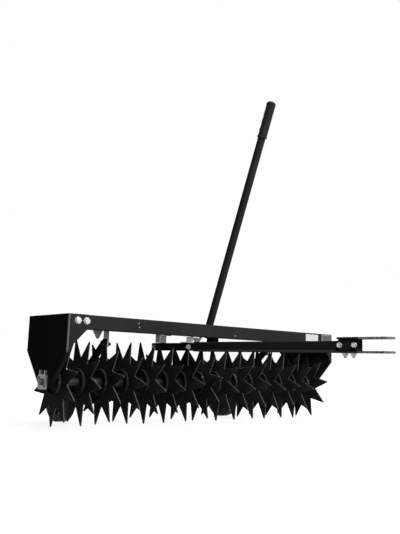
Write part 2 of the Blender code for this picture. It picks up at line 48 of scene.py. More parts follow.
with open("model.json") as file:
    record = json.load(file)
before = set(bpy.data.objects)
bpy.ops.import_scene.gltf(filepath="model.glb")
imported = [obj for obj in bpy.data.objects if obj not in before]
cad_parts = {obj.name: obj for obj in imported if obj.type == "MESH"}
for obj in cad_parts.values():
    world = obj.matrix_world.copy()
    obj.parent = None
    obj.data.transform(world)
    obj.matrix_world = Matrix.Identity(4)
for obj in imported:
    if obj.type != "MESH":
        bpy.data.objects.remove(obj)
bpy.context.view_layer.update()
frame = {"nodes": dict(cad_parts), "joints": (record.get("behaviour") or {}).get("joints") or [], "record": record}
JOINTS = {joint["name"]: np.array(joint["pos_m"]) for joint in frame["joints"]}
STAR_NAMES = [name for name in frame["record"]["behaviour"]["bodies"] if name.startswith("star_")]
AXLE = (np.array(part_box("tine_axle")[0]) + np.array(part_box("tine_axle")[1])) / 2
LIFT = JOINTS["lift_hinge"]

X, Y, Z = np.eye(3)


def from_axle(x, y, z):
    """A place given from the middle of the tine axle, in the frame."""
    return AXLE + np.array((x, y, z), float)


# Settings


def number_setting(name, description, default, **options):
    """A number in the unit that its description names."""
    return bpy.props.FloatProperty(name=name, description=description, default=default, **options)


def metres(name, description, default):
    """A length in metres."""
    return number_setting(name, description, default, unit="LENGTH", precision=4)


def angle_setting(name, description, degrees):
    """An angle, given in degrees and kept in radians."""
    return number_setting(name, description, np.radians(degrees), unit="ROTATION")


def count_setting(name, description, default):
    """A whole number of like features."""
    return bpy.props.IntProperty(name=name, description=description, default=default)


def vector_setting(name, description, default, subtype="NONE"):
    """Two or three numbers that belong together."""
    return bpy.props.FloatVectorProperty(
        name=name, description=description, default=default, subtype=subtype, size=len(default)
    )


def colour_setting(name, description, default):
    """A linear colour."""
    return vector_setting(name, description, default, "COLOR")


class StarSettings(bpy.types.PropertyGroup):
    """Sizes of one tine star."""

    reach: metres("Reach", "From the axle's middle to a tine's tip", 0.127)
    root: metres("Root", "From the axle's middle to a notch", 0.070)
    tip: metres("Tip", "Width of a tine's blunt tip", 0.0032)
    thickness: metres("Thickness", "Of the star's plate", 0.0035)
    edge: metres("Edge", "Softening of the cut edges", 0.0007)
    bore: metres("Bore", "Radius of the hole for the axle", 0.0099)
    collar: metres("Collar", "Outer radius of the ring", 0.040)
    collar_wall: metres("Collar wall", "Thickness of the ring's wall", 0.004)
    collar_depth: metres("Collar depth", "How far the ring stands out", 0.007)
    tines: count_setting("Tines", "Tines of one star", 10)


class LeverSettings(bpy.types.PropertyGroup):
    """Sizes of the lever and its grip."""

    tube: metres("Tube", "Outer radius of the lever tube", 0.0127)
    foot: metres("Foot", "Where the tube starts, along it", -0.012)
    top: metres("Top", "Where the tube ends, along it", 0.784)
    lean: angle_setting("Lean", "How far it leans forward", 21.1)
    along_x: metres("Sideways place", "The tube's middle, from the axle's middle", -0.003)
    grip: metres("Grip", "Outer radius of the grip", 0.0152)
    grip_start: metres("Grip start", "Its lower end, along the tube", 0.677)
    grip_end: metres("Grip end", "Its upper end, along the tube", 0.7978)
    fingers: count_setting("Finger ridges", "Ridges on its rear side", 4)


class WheelSettings(bpy.types.PropertyGroup):
    """Sizes of one transport wheel."""

    radius: metres("Radius", "Over the tread", 0.0699)
    half_width: metres("Half width", "Of the tread", 0.017)
    hub: metres("Hub", "Radius of the hub", 0.013)
    hub_half: metres("Hub half width", "Half the hub's length", 0.0185)
    rim: metres("Rim", "Radius inside the rim", 0.050)
    web_half: metres("Web", "Half the web's thickness", 0.005)
    bore: metres("Bore", "Radius of the hole for the bolt", 0.0052)
    spoke: metres("Spoke", "Half the width of a spoke", 0.0045)
    spokes: count_setting("Spokes", "Spokes between hub and rim", 6)


class ColourSettings(bpy.types.PropertyGroup):
    """Colours of the finishes."""

    paint: colour_setting("Frame paint", "Powder coat", (0.021, 0.021, 0.022))
    tine: colour_setting("Tine paint", "Paint of the stars", (0.018, 0.018, 0.0185))
    zinc: colour_setting("Zinc", "Plated brackets", (0.30, 0.295, 0.285))
    bright: colour_setting("Bright zinc", "Plated hangers, bolts and nuts", (0.60, 0.595, 0.58))
    steel: colour_setting("Axle steel", "Axle and spacers", (0.045, 0.045, 0.048))
    plastic: colour_setting("Wheel plastic", "Moulded wheels", (0.040, 0.040, 0.041))
    rubber: colour_setting("Grip rubber", "Lever's grip", (0.010, 0.010, 0.011))
    label: colour_setting("Label", "Blank label", (0.60, 0.60, 0.59))
    badge: colour_setting("Badge", "Blank dark label", (0.10, 0.10, 0.10))
    backdrop: colour_setting("Backdrop", "Floor", (0.15, 0.15, 0.15))


class StageSettings(bpy.types.PropertyGroup):
    """Camera and light."""

    lens: number_setting("Lens", "Millimetres, for 36 mm of height", 44.0)
    yaw: angle_setting("Yaw", "From +Y towards +X", 40.392)
    pitch: angle_setting("Pitch", "Upwards", 9.648)
    roll: angle_setting("Roll", "About the view line", 1.787)
    place: vector_setting("Camera place", "From the axle's middle", (-1.45353, -1.72452, 0.06358))
    shift: vector_setting("Shift", "Share of the image's height", (-0.00814, -0.02618))
    key: number_setting("Key light", "Watts", 125.0)
    top: number_setting("Top light", "Watts", 40.0)
    fill: number_setting("Fill light", "Watts", 14.0)
    rear: number_setting("Rear light", "Watts", 90.0)
    surround: number_setting("Surround", "Strength of the world's light", 0.05)


# Shader maths


class Value:
    """One output of a node. Sums on it add the Math nodes that work them out."""

    def __init__(self, finish, socket):
        self.finish = finish
        self.socket = socket

    def math(self, operation, first, second):
        return self.finish.node("ShaderNodeMath", {"operation": operation}, {0: first, 1: second})

    def __add__(self, other):
        return self.math("ADD", self, other)

    def __radd__(self, other):
        return self.math("ADD", other, self)

    def __sub__(self, other):
        return self.math("SUBTRACT", self, other)

    def __rsub__(self, other):
        return self.math("SUBTRACT", other, self)

    def __mul__(self, other):
        return self.math("MULTIPLY", self, other)

    def __pow__(self, other):
        return self.math("POWER", self, other)

    def __gt__(self, other):
        return self.math("GREATER_THAN", self, other)

    def __lt__(self, other):
        return self.math("LESS_THAN", self, other)

    def step(self, low, high):
        """0 below low, 1 above high, and smooth between them."""
        settings = {"interpolation_type": "SMOOTHSTEP"}
        inputs = {"Value": self, "From Min": low, "From Max": high}
        return self.finish.node("ShaderNodeMapRange", settings, inputs)


class Finish:
    """A material built from nodes. Numbers given by name stand on its Principled shader's own sockets."""

    def __init__(self, name, **constants):
        self.material = bpy.data.materials.new(name)
        self.material.use_nodes = True
        self.tree = self.material.node_tree
        self.shader = self.tree.nodes["Principled BSDF"]
        for label, value in constants.items():
            self.shader.inputs[label.replace("_", " ")].default_value = value

    def node(self, kind, settings=None, inputs=None, output=0):
        """Adds a node: its settings first, then the values or links of its sockets."""
        made = self.tree.nodes.new(kind)
        for key, value in (settings or {}).items():
            setattr(made, key, value)
        for key, value in (inputs or {}).items():
            if isinstance(value, Value):
                self.tree.links.new(value.socket, made.inputs[key])
            else:
                made.inputs[key].default_value = value
        return Value(self, made.outputs[output])

    def place(self):
        """The Object coordinates, which are the texture coordinate node's output 3."""
        return self.node("ShaderNodeTexCoord", output=3)

    def parts(self):
        """The three coordinates of a place."""
        split = self.node("ShaderNodeSeparateXYZ", None, {0: self.place()})
        return [Value(self, socket) for socket in split.socket.node.outputs]

    def noise(self, scale, detail=3.0, stretch=None):
        vector = self.place()
        if stretch:
            vector = self.node("ShaderNodeMapping", None, {"Vector": vector, "Scale": stretch})
        inputs = {"Vector": vector, "Scale": scale, "Detail": detail, "Roughness": 0.5}
        return self.node("ShaderNodeTexNoise", None, inputs)

    def mix(self, factor, first, second):
        """A colour between two colours."""
        inputs = {"Factor": factor, "A": first, "B": second}
        made = self.tree.nodes.new("ShaderNodeMix")
        made.data_type = "RGBA"
        for socket in made.inputs:
            value = inputs.get(socket.name)
            if value is None or socket.type != ("VALUE" if socket.name == "Factor" else "RGBA"):
                continue
            if isinstance(value, Value):
                self.tree.links.new(value.socket, socket)
            else:
                socket.default_value = value
        return Value(self, next(socket for socket in made.outputs if socket.type == "RGBA"))

    def feed(self, label, value):
        self.tree.links.new(value.socket, self.shader.inputs[label])

    def bump(self, height, distance, strength=1.0):
        """Raises the surface by the height times the distance."""
        inputs = {"Height": height, "Distance": distance, "Strength": strength}
        self.feed("Normal", self.node("ShaderNodeBump", None, inputs))


def colour(value, times=1.0):
    return (value[0] * times, value[1] * times, value[2] * times, 1.0)


# A bare strap's tone, which also stands for a painted highlight on the straps' noses.
BARE_AND_HIGHLIT_STRAP = (0.20, 0.20, 0.197, 1.0)
# A painted glint's tone on the collars' rims.
RIM_GLINT_TONE = (0.30, 0.30, 0.295, 1.0)
BARE_TIP = (0.11, 0.108, 0.105, 1.0)
MASK_MARGIN = 0.001


def powder_coat(base):
    """Black powder coat: orange peel, cloudy gloss, dust, painted highlights on the folds, and hitch straps worn
    bare with a painted highlight.
    """
    finish = Finish("powder_coat_black", Specular_IOR_Level=0.0)
    cloud = finish.noise(7.0, 4.0)
    grain = finish.noise(520.0, 2.0)
    speck = finish.noise(160.0, 3.0).step(0.62, 0.78)
    dust = cloud.step(0.35, 0.75) * 0.55 + speck * 0.25
    shade = finish.mix(dust, colour(base), colour(base, 1.5))
    # Painted highlights along the end plates' front folds, and a painted floor reflection along the drawbar's
    # lower edge.
    painted_highlight = painted_fold_highlights(finish) * (0.75 + finish.noise(90.0, 3.0) * 0.5)
    shade = finish.mix(painted_highlight, shade, colour(base, 7.5))
    # The straps' noses: bare metal where they wear, and paler as a painted highlight.
    strap_wear_and_highlight = worn_and_highlit_straps(finish) * finish.noise(130.0, 4.0).step(0.25, 0.6)
    finish.feed("Base Color", finish.mix(strap_wear_and_highlight, shade, BARE_AND_HIGHLIT_STRAP))
    finish.feed("Metallic", strap_wear_and_highlight * 0.5)
    finish.feed("Roughness", 0.34 + cloud * 0.16 + grain * 0.05)
    finish.bump(grain, 0.00012, 0.5)
    return finish.material


def painted_fold_highlights(finish):
    """Painted highlights: 1 at the end plates' front folds, 0.45 at the drawbar's lower edge as a painted
    reflection of the floor, and 0 a few millimetres away.
    """
    x, y, z = finish.parts()
    plate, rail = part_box("end_plate_left"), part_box("drawbar_channel")
    out = AXLE[0] - plate[0][0]
    away = (((x - AXLE[0]) * (x - AXLE[0])) ** 0.5 - out) ** 2 + (y - plate[0][1]) * (y - plate[0][1])
    fold_full, fold_none, edge_full, edge_none, edge_reflection = 0.0030, 0.0052, 0.0045, 0.0075, 0.45
    fold = 1 - away.step(fold_full**2, fold_none**2)
    low = 1 - (z - rail[0][2]).step(edge_full, edge_none)
    beside = (y > rail[0][1] - MASK_MARGIN) * (y < rail[1][1] + MASK_MARGIN) * (z > rail[0][2] - MASK_MARGIN)
    inside = (x > rail[0][0] - MASK_MARGIN) * (x < rail[1][0] + MASK_MARGIN)
    return fold + low * beside * inside * edge_reflection


def worn_and_highlit_straps(finish):
    """0.9 on the noses of the hitch straps, worn bare where the towing plate and its pin rub and paler as a
    painted highlight, and 0 elsewhere.
    """
    _, y, z = finish.parts()
    block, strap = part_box("hitch_block"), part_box("hitch_strap_lower")
    before_block, wear_and_highlight = 0.004, 0.9
    return (y < block[0][1] - before_block) * (z > strap[0][2] - MASK_MARGIN) * wear_and_highlight


def tine_paint(base, sizes):
    """Thin black paint on stamped steel: the tips are rubbed paler, and the cut edges and the collars' rims get
    painted highlights and glints.
    """
    finish = Finish("tine_paint_worn", Specular_IOR_Level=0.006)
    x, y, z = finish.parts()
    away = ((y - AXLE[1]) * (y - AXLE[1]) + (z - AXLE[2]) * (z - AXLE[2])) ** 0.5
    tip = away.step(sizes.reach * 0.88, sizes.reach * 1.0)
    scuff = finish.noise(240.0, 4.0, (0.4, 1.0, 1.0)).step(0.56, 0.68) * tip * 0.6
    cloud = finish.noise(16.0, 4.0)
    shade = finish.mix(cloud.step(0.3, 0.8), colour(base), colour(base, 2.4))
    shade = finish.mix(away.step(sizes.root, sizes.reach) * 0.5, shade, colour(base, 4.0))
    pitch = JOINTS["star_02_spin"][0] - JOINTS["star_01_spin"][0]
    # Painted highlights along the cut edges and round the collars' rims.
    across = finish.node("ShaderNodeMath", {"operation": "PINGPONG"}, {0: x - AXLE[0], 1: pitch / 2})
    edge = 1 - across.step(sizes.thickness * 0.30, sizes.thickness * 0.42)
    ring = away.step(sizes.collar - 0.0016, sizes.collar - 0.0006)
    ring = ring * (1 - away.step(sizes.collar + 0.0003, sizes.collar + 0.0008))
    painted_highlight = (edge * 0.5 + ring * 0.25) * (0.6 + finish.noise(110.0, 3.0) * 0.8)
    shade = finish.mix(painted_highlight, shade, colour(base, 8.0))
    # Painted glints on the collars' rims.
    glint = finish.noise(42.0, 2.0).step(0.58, 0.66) * ring
    shade = finish.mix(glint * 0.8, shade, RIM_GLINT_TONE)
    finish.feed("Base Color", finish.mix(scuff, shade, BARE_TIP))
    finish.feed("Metallic", scuff * 0.8)
    finish.feed("Roughness", 0.36 + cloud * 0.16 + scuff * 0.1)
    streaks = finish.noise(300.0, 2.0) + finish.noise(60.0, 2.0, (1.0, 1.0, 0.15)) * 0.6
    finish.bump(streaks, 0.00012, 0.6)
    return finish.material


def zinc_plating(name, base):
    """Zinc plating: fine brushed grain, cloudy patches and dull spots."""
    finish = Finish(name, Metallic=0.55)
    cloud = finish.noise(38.0, 4.0)
    grain = finish.noise(420.0, 2.0, (1.0, 1.0, 0.12))
    spot = finish.noise(210.0, 3.0).step(0.64, 0.76)
    shade = finish.mix(cloud.step(0.3, 0.75), colour(base, 0.74), colour(base, 1.05))
    finish.feed("Base Color", finish.mix(spot * 0.4, shade, colour(base, 0.5)))
    finish.feed("Roughness", 0.27 + cloud * 0.14 + spot * 0.12)
    finish.bump(grain, 0.00005, 0.5)
    return finish.material


def turned_steel(base):
    """Dark drawn steel with fine rings round the axle's line."""
    finish = Finish("drawn_steel_dark", Metallic=0.5)
    cloud = finish.noise(26.0, 3.0)
    rings = finish.noise(900.0, 1.0, (1.0, 0.02, 0.02))
    finish.feed("Base Color", finish.mix(cloud.step(0.3, 0.8), colour(base), colour(base, 2.2)))
    finish.feed("Roughness", 0.36 + cloud * 0.2)
    finish.bump(rings, 0.00005, 0.5)
    return finish.material


def wheel_plastic(base):
    """Moulded black plastic: a fine even grain and paler, scuffed patches."""
    finish = Finish("wheel_plastic_grained", Specular_IOR_Level=0.08)
    cloud = finish.noise(30.0, 4.0)
    grain = finish.noise(900.0, 2.0)
    finish.feed("Base Color", finish.mix(cloud.step(0.4, 0.8), colour(base), colour(base, 2.0)))
    finish.feed("Roughness", 0.5 + cloud * 0.18)
    finish.bump(grain, 0.0001, 0.45)
    return finish.material


def grip_rubber(base):
    """Soft black rubber, finely stippled."""
    finish = Finish("grip_rubber_stippled", Specular_IOR_Level=0.08)
    cloud = finish.noise(45.0, 3.0)
    stipple = finish.node("ShaderNodeTexVoronoi", None, {"Vector": finish.place(), "Scale": 620.0})
    finish.feed("Base Color", finish.mix(cloud.step(0.35, 0.8), colour(base), colour(base, 1.9)))
    finish.feed("Roughness", 0.55 + cloud * 0.2)
    finish.bump(stipple, 0.00018, 0.5)
    return finish.material


def label_film(name, base):
    """Blank film: faintly uneven and a little glossy."""
    finish = Finish(name, Specular_IOR_Level=0.2)
    cloud = finish.noise(60.0, 3.0)
    finish.feed("Base Color", finish.mix(cloud.step(0.3, 0.8), colour(base, 0.9), colour(base)))
    finish.feed("Roughness", 0.36 + cloud * 0.12)
    finish.bump(finish.noise(140.0, 2.0), 0.00005, 0.4)
    return finish.material


def painted_hole_shade(base):
    """Painted shade for the inside of a drilled hole: dark, rough and mottled."""
    finish = Finish("hole_shadow", Specular_IOR_Level=0.1)
    finish.feed("Base Color", finish.mix(finish.noise(300.0), colour(base, 0.2), colour(base, 0.5)))
    finish.feed("Roughness", 0.8 + finish.noise(90.0) * 0.1)
    return finish.material


# Filled by the finishes operator, and read by piece()
FINISHES = {}


# Surfaces


def loop_faces(rows, columns, closed_rows=False):
    """Quads between neighbouring rows of a grid whose columns run round in a loop.

    With closed_rows the last row is joined to the first one too.
    """
    row = np.arange(rows if closed_rows else rows - 1)[:, None]
    column = np.arange(columns)[None, :]
    next_row = (row + 1) % rows
    next_column = (column + 1) % columns
    corners = [row * columns + column, row * columns + next_column]
    corners += [next_row * columns + next_column, next_row * columns + column]
    return np.stack(np.broadcast_arrays(*corners), -1).reshape(-1, 4).tolist()


def shell(rings, closed_rows=False):
    """A closed surface from rings of points: quads between rings, and a flat end on the first and the last.

    With closed_rows the last ring is joined to the first one, and there are no flat ends.
    """
    rows, columns = rings.shape[:2]
    faces = loop_faces(rows, columns, closed_rows)
    if not closed_rows:
        faces.append(list(range(columns)))
        faces.append(list(range((rows - 1) * columns, rows * columns)))
    return rings.reshape(-1, 3), faces


def turned(profile, sides=48, closed=False):
    """A turned surface: each point (r, h) of the profile makes a ring (r cos u, r sin u, h)."""
    profile = np.array(profile, float)
    turn = 2 * np.pi * np.arange(sides) / sides
    radius = profile[:, :1]
    height = np.broadcast_to(profile[:, 1:], (len(profile), sides))
    return shell(np.stack([radius * np.cos(turn), radius * np.sin(turn), height], -1), closed)


def hexagon(half, rings, sides=48):
    """A chamfered hexagon: at angle u, ring (c, h) has the radius min(c, half / cos(u mod 60 - 30))."""
    rings = np.array(rings, float)
    turn = 2 * np.pi * np.arange(sides) / sides
    flat = half / np.cos(turn % (np.pi / 3) - np.pi / 6)
    radius = np.minimum(flat[None, :], rings[:, :1])
    height = np.broadcast_to(rings[:, 1:], radius.shape)
    return shell(np.stack([radius * np.cos(turn), radius * np.sin(turn), height], -1))


def placed(made, spot, axis, spin=0.0):
    """Turns a surface's +Z to the axis, after a spin about it, and moves it to the spot."""
    points, faces = made
    turn = Vector(axis).to_track_quat("Z", "Y").to_matrix() @ Matrix.Rotation(spin, 3, "Z")
    return points @ np.array(turn).T + np.array(spot), faces


def pillow_plate(width, height, thickness=0.0003, corner=0.00008, sides=96, power=40.0):
    """A thin plate in XY. Its edge follows |x / a|^n + |y / b|^n = 1, and is chamfered at both faces."""
    turn = 2 * np.pi * np.arange(sides) / sides
    spread = (np.abs(np.cos(turn)) ** power + np.abs(np.sin(turn)) ** power) ** (-1 / power)
    edge = np.stack([spread * np.cos(turn), spread * np.sin(turn)], -1)
    half = np.array((width, height)) / 2
    steps = [(-corner, -thickness / 2), (0, -thickness / 2 + corner), (0, thickness / 2 - corner)]
    steps.append((-corner, thickness / 2))
    rings = [np.hstack([edge * (half + inset), np.full((sides, 1), level)]) for inset, level in steps]
    return shell(np.array(rings))


def joined(shells):
    """Several surfaces as one list of points and faces."""
    points, faces, count = [], [], 0
    for some_points, some_faces in shells:
        points.append(some_points)
        faces += [[index + count for index in face] for face in some_faces]
        count += len(some_points)
    return np.vstack(points), faces


def piece(name, made, finish, body, angle=32.0):
    """Makes one finished object from surfaces, with smooth faces, and hangs it on a body of the frame."""
    points, faces = joined(made) if isinstance(made, list) else made
    mesh = bpy.data.meshes.new(name)
    mesh.from_pydata(points.tolist(), [], faces)
    bm = bmesh.new()
    bm.from_mesh(mesh)
    bmesh.ops.recalc_face_normals(bm, faces=bm.faces)
    bm.to_mesh(mesh)
    bm.free()
    mesh.shade_smooth()
    mesh.set_sharp_from_angle(angle=np.radians(angle))
    mesh.materials.append(FINISHES[finish])
    obj = bpy.data.objects.new(name, mesh)
    bpy.context.scene.collection.objects.link(obj)
    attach(obj, body)
    return obj


def plated(name, made, finish="bright"):
    """A zinc-plated piece on the frame's own body."""
    return piece(name, made, finish, "frame")


# Fasteners


WASHER_THICKNESS = 0.0016
HEAD_START = 0.0015
BOLT_HEAD_HEIGHT = 0.0052
NUT_HEIGHT = 0.0062
THREAD_START = 0.0070


def washer(radius, hole, thickness=WASHER_THICKNESS, sides=40):
    """A flat ring from height 0 up, its outer rim chamfered."""
    rim = thickness * 0.3
    profile = [(hole, 0), (radius, 0), (radius, thickness - rim), (radius - rim, thickness)]
    return turned([*profile, (hole, thickness)], sides, closed=True)


def hex_head(across, height, base=HEAD_START):
    """A hexagon head or nut that starts at the height base, by default just inside the washer."""
    half = across / 2
    corner = half / np.cos(np.pi / 6)
    chamfer = (corner - half) * 0.9
    top = base + height
    rings = [(corner - chamfer * 0.5, base), (corner, base + chamfer * 0.4)]
    rings += [(corner, top - chamfer * 0.7), (half + chamfer * 0.15, top), (half * 0.9, top)]
    return hexagon(half, rings)


def thread_end(radius, start, length, turns=5):
    """A screw's end: its radius rises and falls with each turn of the thread, and its tip is chamfered."""
    steps = np.linspace(0, 1, turns * 4 + 1)
    wave = radius * (1 - 0.09 * (0.5 - 0.5 * np.cos(2 * np.pi * turns * steps)))
    profile = np.stack([wave, start + steps * length], -1)
    profile = np.vstack([profile, [(radius * 0.72, start + length + radius * 0.2)]])
    return turned(profile, 24)


def bolt(spot, axis, across=0.013, washer_radius=0.0105, spin=0.3):
    """A bolt's head on its washer."""
    made = [washer(washer_radius, across * 0.25), hex_head(across, BOLT_HEAD_HEIGHT)]
    return [placed(part, spot, axis, spin) for part in made]


def nut(spot, axis, across=0.013, washer_radius=0.0105, spin=0.1, reach=0.006):
    """A nut on its washer, with the bolt's end standing out of it."""
    made = [washer(washer_radius, across * 0.25), hex_head(across, NUT_HEIGHT)]
    made.append(thread_end(across * 0.30, THREAD_START, reach))
    return [placed(part, spot, axis, spin) for part in made]


def dome_head(spot, axis, radius, height):
    """A round head: its height falls off as the square of the distance from its middle."""
    share, sunk = np.linspace(1, 0.12, 8), 0.0005
    profile = np.stack([radius * share, height * (1 - share**2)], -1)
    profile = np.vstack([[(radius, -sunk)], profile])
    return placed(turned(profile, 36), spot, axis)


# Operators


class MakerOperator:
    """Shared by the operators: runs make() and reports that it's done."""

    bl_options = {"REGISTER", "UNDO"}

    def execute(self, context):
        self.make(context.scene)
        return {"FINISHED"}


class AERATOR_OT_finishes(MakerOperator, bpy.types.Operator):
    """Mix the finishes and paint the frame's own pieces with them"""

    bl_idname = "aerator.finishes"
    bl_label = "Finishes"

    def make(self, scene):
        tones = scene.aerator_colours
        FINISHES["paint"] = powder_coat(tones.paint)
        FINISHES["tine"] = tine_paint(tones.tine, scene.aerator_star)
        FINISHES["zinc"] = zinc_plating("zinc_plating_dull", tones.zinc)
        FINISHES["bright"] = zinc_plating("zinc_plating_bright", tones.bright)
        FINISHES["steel"] = turned_steel(tones.steel)
        FINISHES["plastic"] = wheel_plastic(tones.plastic)
        FINISHES["rubber"] = grip_rubber(tones.rubber)
        FINISHES["label"] = label_film("label_film_blank", tones.label)
        FINISHES["badge"] = label_film("badge_film_blank", tones.badge)
        FINISHES["hole"] = painted_hole_shade(tones.paint)
        by_slot = {
            "black_powder_coat": "paint",
            "tine_paint": "tine",
            "zinc_plating": "zinc",
            "axle_steel": "steel",
            "wheel_plastic": "plastic",
            "grip_rubber": "rubber",
        }
        for entry in frame["record"]["subparts"]:
            node = frame["nodes"][entry["node"]]
            node.data.materials.clear()
            tone = "bright" if "hanger" in entry["node"] else by_slot[entry["material_slot"]]
            node.data.materials.append(FINISHES[tone])


class AERATOR_OT_stars(MakerOperator, bpy.types.Operator):
    """Make the tine stars with softened cut edges and smooth collars"""

    bl_idname = "aerator.stars"
    bl_label = "Tine stars"

    def make(self, scene):
        sizes = scene.aerator_star
        for number, name in enumerate(STAR_NAMES):
            node = f"tine_{name}"
            turn = star_turn(node, sizes)
            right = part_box(node)[1][0]
            made = [star_plate(sizes, turn), star_collar(sizes)]
            spot = np.array((right - sizes.thickness / 2, AXLE[1], AXLE[2]))
            made = [(points + spot, faces) for points, faces in made]
            star = piece(f"{name}_stamped", made, "tine", name, 28.0)
            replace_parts(star, node)


def star_turn(node, sizes):
    """The angle of the first tine of a packed star, from its outermost points."""
    points = np.array([vertex.co for vertex in frame["nodes"][node].data.vertices])[:, 1:] - AXLE[1:]
    angle = np.arctan2(points[:, 1], points[:, 0])[np.hypot(*points.T) > sizes.reach - 1e-4]
    step = 2 * np.pi / sizes.tines
    return np.angle(np.exp(1j * angle * sizes.tines).sum()) / 2 / np.pi * step


def star_plate(sizes, turn):
    """The tined plate, as one surface R(u, v) round the X axis: from the bore out to the star's edge.

    Between a tip and a notch the edge is the straight line r(u) = d / cos(u - n), with d its distance from
    the middle and n the direction square to it. The section's points lie at bore + s (r(u) - bore), with s
    from 0 to 1.
    """
    half_tip = np.arcsin(sizes.tip / 2 / sizes.reach)
    step = np.pi / sizes.tines
    tip = sizes.reach * np.array((np.cos(half_tip), np.sin(half_tip)))
    notch = sizes.root * np.array((np.cos(step), np.sin(step)))
    normal = np.array((notch[1] - tip[1], tip[0] - notch[0]))
    normal /= np.hypot(*normal)
    distance, facing = tip @ normal, np.arctan2(normal[1], normal[0])
    rising = np.concatenate([[0.0, half_tip], half_tip + (step - half_tip) * np.linspace(0.12, 1, 6)])
    radius = np.where(rising <= half_tip, sizes.reach * np.cos(half_tip) / np.cos(rising), 0)
    radius = np.where(rising > half_tip, distance / np.cos(rising - facing), radius)
    angles = np.concatenate([rising, 2 * step - rising[-2:0:-1]])
    radii = np.concatenate([radius, radius[-2:0:-1]])
    angles = (angles[None, :] + 2 * step * np.arange(sizes.tines)[:, None]).ravel() + turn
    radii = np.tile(radii, sizes.tines)
    half, edge, bore = sizes.thickness / 2, sizes.edge, sizes.bore
    section = [(0, 0, half), (0.5, 0, half), (1, -edge, half)]
    section += [(1, 0, half - edge), (1, 0, edge - half)]
    section += [(1, -edge, -half), (0.5, 0, -half), (0, 0, -half)]
    rings = []
    for share, inset, across in section:
        away = bore + share * (radii - bore) + inset
        rings.append(np.stack([np.full_like(away, across), away * np.cos(angles), away * np.sin(angles)], -1))
    return shell(np.array(rings), closed_rows=True)


def star_collar(sizes):
    """The ring on the plate's left face, with chamfered rims."""
    outer, inner, soft = sizes.collar, sizes.collar - sizes.collar_wall, 0.0007
    face, sunk = -sizes.thickness / 2, 0.0008
    near, far = face + sunk, face - sizes.collar_depth
    profile = [(inner, near), (outer, near), (outer, far + soft)]
    profile += [(outer - soft, far), (inner + soft, far), (inner, far + soft)]
    points, faces = turned(profile, 72, closed=True)
    return points[:, [2, 0, 1]], faces


class AERATOR_OT_spindle(MakerOperator, bpy.types.Operator):
    """Make the axle and the spacer tubes on it"""

    bl_idname = "aerator.spindle"
    bl_label = "Axle and spacers"

    def make(self, scene):
        names = [name for name in frame["nodes"] if name.startswith(("spacer_", "end_spacer_"))]
        for name in sorted(names):
            low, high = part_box(name)
            tube = spacer_tube(high[0] - low[0], (high[2] - low[2]) / 2, scene.aerator_star.bore)
            spot = ((low[0] + high[0]) / 2, AXLE[1], AXLE[2])
            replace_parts(piece(f"{name}_tube", placed(tube, spot, X), "steel", "frame"), name)
        low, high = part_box("tine_axle")
        profile = soft_ends((high[0] - low[0]) / 2, (high[2] - low[2]) / 2, 0.0012)
        bar = placed(turned(profile), AXLE, X)
        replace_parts(piece("axle_bar", bar, "steel", "frame"), "tine_axle")


def soft_ends(half, radius, soft):
    """The profile of a rod from height -half to half, chamfered at both ends."""
    return [(radius - soft, -half), (radius, -half + soft), (radius, half - soft), (radius - soft, half)]


def spacer_tube(length, outer, inner):
    """A tube along Z with chamfered outer rims."""
    half = length / 2
    return turned([*soft_ends(half, outer, 0.0005), (inner, half), (inner, -half)], closed=True)


class AERATOR_OT_lever(MakerOperator, bpy.types.Operator):
    """Make the lever tube and the moulded grip on its top"""

    bl_idname = "aerator.lever"
    bl_label = "Lever"

    def make(self, scene):
        sizes = scene.aerator_lever
        spot = np.array((AXLE[0] + sizes.along_x, LIFT[1], LIFT[2]))
        turn = np.array(Matrix.Rotation(sizes.lean, 3, "X"))
        wall, soft = 0.0016, 0.0004
        inner = sizes.tube - wall
        profile = [(inner, sizes.foot), (sizes.tube - soft, sizes.foot), (sizes.tube, sizes.foot + soft)]
        profile += [(sizes.tube, sizes.top), (inner, sizes.top)]
        points, faces = turned(profile, 64, closed=True)
        made = (points @ turn.T + spot, faces)
        tube = piece("lever_tube_round", made, "paint", "lift")
        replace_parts(tube, "lever_tube")
        points, faces = grip_surface(sizes)
        made = (points @ turn.T + spot, faces)
        grip = piece("lever_grip_moulded", made, "rubber", "lift", 60.0)
        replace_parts(grip, "lever_grip")


def grip_surface(sizes):
    """The grip along Z: r(u, h) = (grip + flare - fine - ridge depth * wave * max(0, sin u)^2) * dome.

    The wave over h has one dip for each finger, fine cuts the fine rings, and the dome closes the top as a
    quarter of an ellipse. Two plain rings inside line the bore that the tube goes into.
    """
    sides, rows = 64, 150
    ridged_share, ridge_depth, ring_count, ring_depth = 0.86, 0.0020, 34, 0.00018
    flare_height, dome_length, least_share, gap = 0.0012, 0.010, 0.02, 0.0003
    height = np.linspace(sizes.grip_start, sizes.grip_end, rows)[:, None]
    turn = (2 * np.pi * np.arange(sides) / sides)[None, :]
    length = sizes.grip_end - sizes.grip_start
    share = (height - sizes.grip_start) / length
    wave = 0.5 - 0.5 * np.cos(2 * np.pi * sizes.fingers * np.clip(share / ridged_share, 0, 1))
    rear = np.clip(np.sin(turn), 0, 1) ** 2
    below = np.clip((sizes.grip_end - height) / dome_length, 0, 1)
    dome = np.sqrt(1 - (1 - below) ** 2)
    rings = 0.5 - 0.5 * np.cos(2 * np.pi * ring_count * share)
    fine = ring_depth * rings * (share > 0.06) * (share < 0.9)
    flare = flare_height * (share < 0.05)
    radius = (sizes.grip + flare - fine - ridge_depth * wave * rear) * np.maximum(dome, least_share)
    outside = np.stack([radius * np.cos(turn), radius * np.sin(turn), height * np.ones_like(turn)], -1)
    inner = sizes.tube + gap
    levels = np.array([sizes.grip_start, sizes.top + gap])[:, None] * np.ones_like(turn)
    level_ones = np.ones_like(levels)
    inside = np.stack([inner * np.cos(turn) * level_ones, inner * np.sin(turn) * level_ones, levels], -1)
    return shell(np.vstack([inside[::-1], outside]))


